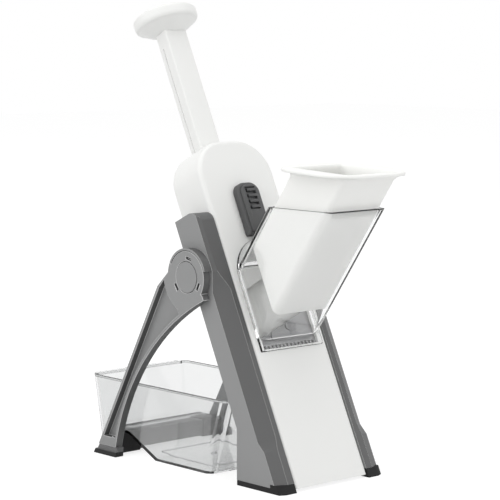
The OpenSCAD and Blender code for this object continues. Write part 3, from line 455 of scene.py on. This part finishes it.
def pusherRings(p):
    half, inside = p["thick"] / 2, p["inset"] + p["wall"]
    toe = [ductFront(p["inset"] + i, p["floor"] - d) for i, d in roundOver(p["toe"])[::-1]]
    neck = [ductTilted(p["inset"] - i, -half - d) for i, d in roundOver(p["neck"])]
    under = [flangeRing(p, i, d - half) for i, d in roundOver(p["edge"])[::-1]]
    over = [flangeRing(p, i, half - d) for i, d in roundOver(p["edge"])]
    brim = [ductTilted(inside - i, half - d) for i, d in roundOver(1.0, 9)[::-1] * p["throat"]]
    floor = [ductFront(inside + i, p["floor"] - p["wall"] - d) for i, d in roundOver(p["toe"])]
    up, down = blendRings(toe[-1], neck[0]), blendRings(brim[-1], floor[0])
    return np.stack(toe + up + neck + under + over + brim + down + floor)


pusherMesh = gridMesh("pusherCup", pusherRings(pusher), caps=True)
shadeByAngle(pusherMesh, 35)
place("pusherCup", pusherMesh, bodyOf["pusher_cup"], "white_plastic", ("pusher_cup",), paintedLightWhite)
print("slicer: hopper and pusher made")

# grip: an ellipse carried up a profile of insets from the rim and heights along the body
grip = {"wide": 58.0, "deep": 56.5, "middle": 31.0, "low": 424.0, "rim": 433.8, "mid": 440.5, "top": 446.5,
        "under": 16.0, "flare": 1.15, "lip": 2.6, "lipDrop": 1.6, "lipRise": 4.2, "dome": 22.0,
        "crownIn": (24.5, 26.5), "crownUp": (0.02, 0.03), "around": 72}


def gripRings(g, inset, z):  # x = (wide / 2 - inset) cos a, y = (deep / 2 - inset) sin a
    a = np.linspace(0, 2 * math.pi, g["around"], endpoint=False)[None]
    inset, z = np.concatenate(inset)[:, None], np.concatenate(z)[:, None]
    x, y = (g["wide"] / 2 - inset) * np.cos(a), (g["deep"] / 2 - inset) * np.sin(a) + g["middle"]
    return leaned(np.stack([x, y, np.broadcast_to(z, x.shape)], -1))


def gripBaseRings(g):  # a cone whose height grows with a power of its width, then a turn round the lip
    u, turn, top = np.linspace(0, 1, 9), np.linspace(0, math.pi / 2, 14)[2:], g["rim"] - g["lipDrop"]
    inset = [g["under"] + (g["lip"] - g["under"]) * u, g["lip"] * (1 - np.sin(turn)), [0.0]]
    z = [g["low"] + (top - g["low"]) * u ** g["flare"], top + g["lipRise"] * (1 - np.cos(turn)), [g["mid"]]]
    return gripRings(g, inset, z)


def gripCapRings(g):  # a quarter of an ellipse up to a nearly flat crown
    turn, tall = np.linspace(0, math.pi / 2, 14), g["top"] - g["mid"]
    z = [g["mid"] + tall * np.sin(turn), g["mid"] + tall + np.array(g["crownUp"])]
    return gripRings(g, [g["dome"] * (1 - np.cos(turn)), g["crownIn"]], z)


for name, rings, node in (("gripBase", gripBaseRings, "grip_base"), ("gripCap", gripCapRings, "grip_cap")):
    mesh = gridMesh(name, rings(grip), caps=True)
    shadeByAngle(mesh, 50)
    place(name, mesh, bodyOf[node], "white_plastic", (node,))

# stem: a rectangle with round edges, drawn in along a groove on each side and at the latch's two pockets
stem = {"wide": 24.0, "deep": 15.0, "corner": 1.4, "middle": 29.5, "low": 248.0, "top": 426.0,
        "groove": 0.8, "grooveAt": (1.5, 2.5), "grooveFrom": 266.0, "grooveTo": 410.0,
        "pocket": 3.8, "pocketTall": 8.6, "pocketAt": (-5.3, 4.3), "pockets": (284.0, 369.0), "step": 0.05,
        "rows": 40}


def stemRings(s):  # a point's x moves in by the groove's or the pocket's depth where its y and z lie in one
    loop = roundedLoop(s["wide"], s["deep"], s["corner"], 8)
    g, k, e = s["grooveAt"], s["pocketAt"], s["step"]
    y = np.array([k[1] + e, k[1] - e, g[1] + e, g[1] - e, g[0] + e, g[0] - e, k[0] + e, k[0] - e])
    flat = np.stack([np.full(8, -s["wide"] / 2), y], -1)
    loop = np.concatenate([loop[:16], flat, loop[16:], flat[::-1] * [-1, 1]])
    grooved, pocketed = np.zeros(len(loop)), np.zeros(len(loop))
    grooved[[19, 20]], grooved[[-5, -4]] = 1.0, -1.0  # the two points inside the groove on either side
    pocketed[-7:-1] = 1.0  # the points inside the pockets
    ends = [n + h * s["pocketTall"] / 2 for n in s["pockets"] for h in (-1, 1)]
    ends += [s["grooveFrom"], s["grooveTo"]]
    rows = [[v - e, v + e] for v in ends] + [np.linspace(s["low"], s["top"], s["rows"])]
    z = np.unique(np.concatenate(rows))[:, None]
    x = loop[None, :, 0] + s["groove"] * ((z > s["grooveFrom"]) & (z < s["grooveTo"])) * grooved[None]
    atPocket = (np.abs(z - np.array(s["pockets"])) < s["pocketTall"] / 2).any(1)[:, None] & (pocketed > 0)
    x = np.where(atPocket, s["wide"] / 2 - s["pocket"], x)
    y = np.broadcast_to(loop[None, :, 1] + s["middle"], x.shape)
    return leaned(np.stack([x, y, np.broadcast_to(z, x.shape)], -1))


stemMesh = gridMesh("plungerStem", stemRings(stem), caps=True)
shadeByAngle(stemMesh, 35)
place("plungerStem", stemMesh, bodyOf["plunger_stem"], "white_plastic", ("plunger_stem",))

# return springs: a helix with close end turns
spring = {"turns": 16, "each": 20, "radius": 5.1, "wire": 1.2, "long": 108.0, "foot": 136.0, "x": 29.0,
          "y": 29.0, "closed": 1.0, "opened": 1.6, "endPitch": 1.35, "stroke": 85.0}


def springPath(s, side):  # a circle of radius r; z is the end pitch times the turns plus the summed spread
    n, close, wide = s["turns"], s["closed"], s["opened"]
    turns = np.linspace(0, n, n * s["each"] + 1)
    spread = np.interp(turns, [0, close, wide, n - wide, n - close, n], [0, 0, 1, 1, 0, 0])
    rise = np.concatenate([[0], np.cumsum((spread[1:] + spread[:-1]) / 2)]) / s["each"]
    z = s["foot"] + s["endPitch"] * turns + (s["long"] - s["endPitch"] * n) * rise / rise[-1]
    a = 2 * math.pi * turns
    x, y = side * (s["x"] + s["radius"] * np.cos(a)), s["y"] + s["radius"] * np.sin(a)
    return leaned(np.stack([x, y, z], -1))


for hand, side in sides.items():
    node = hand + "_return_spring"
    coil = tubeMesh(node + "Wire", springPath(spring, side), spring["wire"] / 2 * mm, bodyUp)
    coil.shade_smooth()
    wire = place(node + "Wire", coil, bodyOf[node], "steel", (node,))
    foot = leaned([side * spring["x"], spring["y"], spring["foot"]])
    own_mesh(wire)
print("slicer: handle made")

# lock slider: arched outlines carried forward over a shoulder to a raised pad, then back into a barred window
slider = {"wide": 25.0, "low": 221.0, "long": 47.0, "back": -0.4, "shoulder": -6.4, "front": -9.0,
          "arch": 9.0, "archLeast": 1.0, "foot": 1.6, "footLeast": 0.5, "taper": 0.8, "round": 1.2,
          "pad": 2.5, "padStep": 0.4, "padRound": 1.0,
          "window": (-5.6, 5.6, 242.6, 263.0), "windowDeep": 2.4, "windowRound": 0.8, "windowEdge": 0.3,
          "windowDraft": 0.1, "bars": 4, "bar": 2.7, "barRound": 0.5, "barShort": 1.7, "barAside": 1.25,
          "barTop": 2.5, "barGap": 0.2, "barDepth": (0.5, 0.15, 0.0), "barInset": (0.0, 0.15, 0.45),
          "barEnds": 0.3, "pitch": 5.1, "stalk": (8.0, 2.6, 239.0, 249.0), "stalkRound": 0.6,
          "stalkSunk": 0.6}


def archLoop(x0, x1, low, top, foot, arch, n=8):  # quarter turns at the four corners: arch above, foot below
    a = np.linspace(0, math.pi / 2, n)
    c, s = np.cos(a), np.sin(a)
    part = [np.stack([x1 - arch + arch * c, top - arch + arch * s], -1),
            np.stack([x0 + arch - arch * s, top - arch + arch * c], -1),
            np.stack([x0 + foot - foot * c, low + foot - foot * s], -1),
            np.stack([x1 - foot + foot * s, low + foot - foot * c], -1)]
    return np.concatenate(part)


def facing(loops, y):  # loops of (x, z), each set at its own y
    y = np.broadcast_to(np.asarray(y)[..., None], loops.shape[:-1])
    return np.stack([loops[..., 0], y, loops[..., 1]], -1)


def sliderRings(s):
    half, low, top = s["wide"] / 2, s["low"], s["low"] + s["long"]
    x0, x1, z0, z1 = s["window"]

    def ring(inset, y, drop=0.0):
        foot, arch = max(s["foot"] - inset, s["footLeast"]), max(s["arch"] - inset, s["archLeast"])
        loop = archLoop(inset - half, half - inset, low + inset * s["taper"], top - inset - drop, foot, arch)
        return facing(loop, y)

    def window(grow, y):
        r = s["windowRound"]
        return facing(archLoop(x0 - grow, x1 + grow, z0 - grow, z1 + grow, r, r), y)

    step, edge = s["padStep"], s["windowEdge"]
    rings = [ring(0, s["back"])] + [ring(i, s["shoulder"] + d) for i, d in roundOver(s["round"])]
    rings += [ring(s["pad"] - i, s["shoulder"] - step + d, step) for i, d in roundOver(step, 3)[::-1]]
    rings += [ring(s["pad"] + i, s["front"] + d, step) for i, d in roundOver(s["padRound"], 5)]
    rings += [window(edge, s["front"]), window(0.0, s["front"] + edge)]
    rings += [window(-s["windowDraft"], s["front"] + s["windowDeep"])]
    return np.stack(rings)


def barRings(s, row):  # a rounded rectangle carried forward from near the window's floor, its front drawn in
    x0, x1, z0, z1 = s["window"]
    loop = roundedLoop(x1 - x0 - s["barShort"], s["bar"], s["barRound"], 4)
    loop = loop + [s["barAside"], z1 - s["barTop"] - s["pitch"] * row]
    y = np.array([s["windowDeep"] - s["barGap"], *s["barDepth"]]) + s["front"]
    shrink = np.array([0.0, *s["barInset"]])[:, None, None] * 2 / s["bar"] * [s["barEnds"], 1]
    centre = loop.mean(0)
    return facing(centre + (loop[None] - centre) * (1 - shrink), y)


def stalkRings(s):  # a rounded rectangle carried straight back into the slot
    w, back, z0, z1 = s["stalk"]
    loop = roundedLoop(w, z1 - z0, s["stalkRound"], 4) + [0, (z0 + z1) / 2]
    return facing(np.stack([loop, loop]), [s["back"] - s["stalkSunk"], back])


sliderForms = [sliderRings(slider), stalkRings(slider)] + [barRings(slider, k) for k in range(slider["bars"])]
joined = bmesh.new()
for form in sliderForms:
    part = gridMesh("part", leaned(form), caps=True)
    joined.from_mesh(part)
    bpy.data.meshes.remove(part)
sliderMesh = bpy.data.meshes.new("lockSlider")
joined.to_mesh(sliderMesh)
joined.free()
shadeByAngle(sliderMesh, 40)
place("lockSlider", sliderMesh, bodyOf["lock_slider"], "dark_plastic", ("lock_slider",))

# front feet: the side view of the toe and sole carried across, its front drawn back along the frame's chamfer
frontFoot = {"in": 41.4, "out": 59.0, "back": 54.4, "sole": 4.6, "toe": 7.5, "toeLong": 14.0,
             "cut": (6.0, 3.0), "round": 0.5, "edgeAngle": 30.0}


def footRings(f, side):
    x = np.array([f["in"], f["out"] - f["cut"][0], f["out"]])
    draw = np.interp(x, x[1:], [0, f["cut"][1]])[:, None]
    lean = f["toe"] * leanSin / leanCos
    profile = np.array([0, f["back"], f["back"], f["toeLong"], f["toeLong"], lean])
    y = profile[None] + draw * [1, 0, 0, 0, 0, 1]
    z = np.broadcast_to(np.array([0, 0, f["sole"], f["sole"], f["toe"], f["toe"]]), y.shape)
    return np.stack([np.broadcast_to(side * x[:, None], y.shape), y + stance["shift"], z], -1) * mm


for hand, side in sides.items():
    node = hand + "_front_foot"
    toe = gridMesh(node + "Rubber", footRings(frontFoot, side), caps=True)
    shadeByAngle(toe, 40)
    rubber = place(node + "Rubber", toe, bodyOf[node], "rubber", (node,))
    brokenEdges(rubber, frontFoot["round"], frontFoot["edgeAngle"])

# crossbar ends: a rounded rectangle carried across, drawn in at both ends
collar = {"y": 217.5, "z": 10.5, "deep": 19.4, "tall": 17.4, "corner": 1.8, "in": 37.0, "out": 59.2,
          "round": 0.8}


def collarRings(c, side):
    ends = roundOver(c["round"])
    inset = np.concatenate([ends[::-1, 0], ends[:, 0]])
    x = np.concatenate([c["in"] + ends[::-1, 1], c["out"] - ends[:, 1]])
    loops = np.stack([roundedLoop(c["deep"] - 2 * i, c["tall"] - 2 * i, c["corner"] - i, 6) for i in inset])
    x, y = np.broadcast_to(side * x[:, None], loops.shape[:2]), loops[..., 0] + c["y"] + stance["shift"]
    return np.stack([x, y, loops[..., 1] + c["z"]], -1) * mm


for hand, side in sides.items():
    node = hand + "_crossbar_collar"
    sleeve = gridMesh(node + "Sleeve", collarRings(collar, side), caps=True)
    shadeByAngle(sleeve, 40)
    place(node + "Sleeve", sleeve, bodyOf[node], "rubber", (node,))
print("slicer: slider, feet and collars made")

# rear leg: the arms' hollow is carried closer to the front edge, along the arm's own arc, and made deeper;
# arms and boots are slimmed near the floor
rearLeg = {"arc": (-4.5, -34.5), "radius": 207.0, "from": 2.6, "to": 8.0, "turn": (14.2, 54.6), "steps": 60,
           "floor": 62.0, "within": 0.03, "face": 70.0, "deeper": 1.0, "slim": 8.5, "slimTop": 150.0,
           "band": 12.0, "bootSlim": 6.5, "heelSlim": 1.5}


def hollowRings(h, side):  # a band between two radii of the arc, from the hollow's floor past the arm's face
    a = np.radians(np.linspace(*h["turn"], h["steps"]))[:, None]
    r = h["radius"] + np.array([h["from"], h["to"], h["to"], h["from"]])[None]
    x = np.broadcast_to(side * np.array([h["floor"], h["floor"], h["face"], h["face"]]), (h["steps"], 4))
    return np.stack([x, h["arc"][0] + r * np.cos(a) + stance["shift"], h["arc"][1] + r * np.sin(a)], -1) * mm


def carved(obj, mesh):  # the object's mesh less a closed mesh, worked out once
    cutter = bpy.data.objects.new("cutter", mesh)
    scene.collection.objects.link(cutter)
    m = obj.modifiers.new("carve", "BOOLEAN")
    m.operation, m.object, m.solver = "DIFFERENCE", cutter, "EXACT"
    while obj.modifiers[0] != m:
        obj.modifiers.move(obj.modifiers.find(m.name), 0)
    hidden = [k for k in obj.modifiers if k != m]
    for k in hidden:
        k.show_viewport = False
    bpy.context.view_layer.update()
    new = bpy.data.meshes.new_from_object(obj.evaluated_get(bpy.context.evaluated_depsgraph_get()))
    for k in hidden:
        k.show_viewport = True
    obj.modifiers.remove(m)
    obj.data = new
    bpy.data.objects.remove(cutter)


def slimmed(mesh, h, boot):
    # an arm's front edge moves back by slim (1 - (z / slimTop)^2), a boot's front and heel by fixed amounts
    p = np.empty(3 * len(mesh.vertices))
    mesh.vertices.foreach_get("co", p)
    p = p.reshape(-1, 3) / mm
    out = np.hypot(p[:, 1] - stance["shift"] - h["arc"][0], p[:, 2] - h["arc"][1]) - h["radius"]
    if boot:
        p[:, 1] += np.where(out < h["band"], h["bootSlim"], -h["heelSlim"])
    else:
        back = h["slim"] * (1 - np.clip(p[:, 2] / h["slimTop"], 0, 1) ** 2)
        p[:, 1] += np.where(out < h["band"], back, 0)
        onFloor = abs(abs(p[:, 0]) - h["floor"]) < h["within"]
        p[:, 0] -= np.sign(p[:, 0]) * h["deeper"] * onFloor
    mesh.vertices.foreach_set("co", (p * mm).ravel())
    mesh.update()


# every solid whose shape is right is shown as a softened copy; the numbers are the rounds of its edges
softEdges = {"front_shell": 0.0, "rear_shell": 0.0, "left_side_frame": 0.7, "right_side_frame": 0.7,
             "left_rear_arm": 0.6, "right_rear_arm": 0.6, "left_rear_boot": 0.5, "right_rear_boot": 0.5,
             "crossbar": 0.8, "left_pivot_cap": 0.6, "right_pivot_cap": 0.6, "collection_bin": 0.25,
             "thickness_knob": 0.5, "blade_carrier": 0.3, "blade_guard": 0.2, "shear_plate": 0.2,
             "slice_chute": 0.4, "crosshead": 0.6, "stop_plate": 0.4}
facetAngle = {"left_side_frame": 25.0, "right_side_frame": 25.0}  # facets of the chamfer count as edges
ownFinish = {"collection_bin": binPlastic, "blade_guard": innerPlatePaintedLight, "blade_carrier": innerPlatePaintedLight,
             "shear_plate": shearSteel, "shear_rivets": shearSteel, "left_rear_boot": bootSole,
             "right_rear_boot": bootSole}
for node, bevel in softEdges.items():
    # the frames and arms get a painted highlight on the rounds of their edges
    edge = paintedEdgeHighlight if node.endswith(("side_frame", "rear_arm")) else None
    skin = softened(node, bevel, facetAngle.get(node, 40.0), ownFinish.get(node), edge)
    if node.endswith("rear_arm"):
        carved(skin, gridMesh("hollow", hollowRings(rearLeg, sides[node.split("_")[0]]), caps=True))
        slimmed(skin.data, rearLeg, False)
        sideFaces(skin.data)
    if node.endswith("rear_boot"):
        slimmed(skin.data, rearLeg, True)

# bin: a bead round its rim, and the raised frame and gate mark on its floor
binTrim = {"rim": (111.0, 71.9, 255.7, 8.0), "bead": 1.1, "at": 66.0, "floor": (70.0, 112.0, 182.0, 4.0),
           "rib": 0.7, "low": 3.1, "gate": (150.0, 3.6), "gateBead": 0.6, "gateFlat": 0.01}


def beadMesh(name, w, front, back, corner, inset, z, radius):  # a circle carried round a rounded rectangle
    loop = roundedLoop(w - 2 * inset, back - front - 2 * inset, corner - inset, 10, 16)
    loop = loop + [0, (front + back) / 2 + stance["shift"]]
    path = np.column_stack([loop, np.full(len(loop), z)])
    t = np.roll(path, -1, 0) - np.roll(path, 1, 0)
    out = np.column_stack([t[:, 1], -t[:, 0], np.zeros(len(t))])
    out /= np.linalg.norm(out, axis=1, keepdims=True)
    a = np.linspace(0, 2 * math.pi, 12, endpoint=False)
    ring = np.cos(a)[None, :, None] * out[:, None] + np.sin(a)[None, :, None] * np.array([0, 0, 1.0])
    return gridMesh(name, (path[:, None] + radius * ring) * mm, loopClosed=True)


gateAt, gateR = binTrim["gate"]
trims = {"binBead": (*binTrim["rim"], binTrim["bead"], binTrim["at"], binTrim["bead"]),
         "binFloorRib": (*binTrim["floor"], 0.0, binTrim["low"], binTrim["rib"]),
         "binGateMark": (2 * gateR, gateAt - gateR, gateAt + gateR, gateR - binTrim["gateFlat"], 0.0,
                         binTrim["low"], binTrim["gateBead"])}
for name, sizes in trims.items():
    bead = beadMesh(name, *sizes)
    bead.shade_smooth()
    place(name, bead, bodyOf["collection_bin"], "clear_plastic", finish=binPlastic)

for node, obj in frame["nodes"].items():
    obj.data.materials.clear()
    obj.data.materials.append(ownFinish.get(node) or finishOf[slotOf[node]])
print("slicer: solids dressed")

# studio: a pale floor and surroundings that are white to the eye, soft lamps for the object
studio = {"floor": 0.8, "floorSpread": 0.01, "floorScale": 3.0, "floorSpan": 6.0, "floorRows": 9,
          "floorSeen": 0.3, "floorGlow": 0.8, "rough": 0.5, "world": 0.62, "target": (0, 0, 0.2)}
lamps = {"leftKey": {"at": (-2.2, 0.3, 1.5), "size": (3.0, 2.6), "watts": 27},
         "overhead": {"at": (0.1, -0.2, 2.4), "size": (2.4, 2.4), "watts": 16},
         "frontFill": {"at": (0.7, -2.3, 1.3), "size": (2.6, 2.2), "watts": 13}}


def seenDirectly(s):  # 1 for rays that show the surroundings: camera, mirror and glass rays
    eye, mirror, glass = (s.node("ShaderNodeLightPath", out=k) for k in (0, 3, 6))
    return s.maths("MINIMUM", eye + mirror + glass, 1.0)


floorMat, s, at = newFinish("paleFloor")
tones = [(studio["floor"] + k * studio["floorSpread"],) * 3 for k in (-1, 1)]
mottle = grain(s, at, studio["floorScale"], 2.0).blend(*tones)
matte = s.node("ShaderNodeBsdfDiffuse", Color=mottle, Roughness=studio["rough"])
shade = s.node("ShaderNodeBsdfDiffuse", Color=(studio["floorSeen"],) * 3 + (1,), Roughness=studio["rough"])
glow = s.node("ShaderNodeEmission", Color=(1, 1, 1, 1), Strength=studio["floorGlow"])
seen = s.node("ShaderNodeAddShader", i0=shade, i1=glow)
closeFinish(s, s.node("ShaderNodeMixShader", i0=seenDirectly(s), i1=matte, i2=seen))
span = np.linspace(-studio["floorSpan"], studio["floorSpan"], studio["floorRows"])
floorMesh = gridMesh("paleFloor", np.stack(np.meshgrid(span, span, [0.0]), -1)[:, :, 0], ringClosed=False)
floorMesh.materials.append(floorMat)
floor = bpy.data.objects.new("paleFloor", floorMesh)
scene.collection.objects.link(floor)

world = bpy.data.worlds.new("studio")
scene.world = world
world.use_nodes = True
world.node_tree.nodes.clear()
s = Sock(world.node_tree, None)
lit = s.node("ShaderNodeBackground", Color=(1, 1, 1, 1), Strength=studio["world"])
white = s.node("ShaderNodeBackground", Color=(1, 1, 1, 1), Strength=1.0)
s.node("ShaderNodeOutputWorld", Surface=s.node("ShaderNodeMixShader", i0=seenDirectly(s), i1=lit, i2=white))

for name, light in lamps.items():
    lamp = bpy.data.lights.new(name, "AREA")
    lamp.shape, lamp.size, lamp.size_y, lamp.energy = "RECTANGLE", *light["size"], light["watts"]
    obj = bpy.data.objects.new(name, lamp)
    aim = (Vector(studio["target"]) - Vector(light["at"])).to_track_quat("-Z", "Y")
    obj.matrix_world = Matrix.Translation(light["at"]) @ aim.to_matrix().to_4x4()
    scene.collection.objects.link(obj)

# camera: worked out from the photograph's straight edges, for a square image
shot = {"at": (-1.1172, -1.2459, 0.3739), "yaw": 41.97, "pitch": 6.38, "focal": 1967.45, "image": 500.0,
        "sensor": 36.0}
(yawCos, yawSin), (pitchCos, pitchSin) = cosSin(shot["yaw"]), cosSin(shot["pitch"])
look = Vector((yawSin * pitchCos, yawCos * pitchCos, -pitchSin))
right = look.cross(Vector((0, 0, 1))).normalized()
cam = bpy.data.cameras.new("photoCamera")
cam.sensor_fit, cam.sensor_width = "HORIZONTAL", shot["sensor"]
cam.lens = shot["focal"] / shot["image"] * shot["sensor"]
cam.clip_end = 50
camera = bpy.data.objects.new("photoCamera", cam)
axes = Matrix((right, right.cross(look), -look)).transposed()
camera.matrix_world = Matrix.Translation(shot["at"]) @ axes.to_4x4()
scene.collection.objects.link(camera)
scene.camera = camera
print("slicer: studio set")
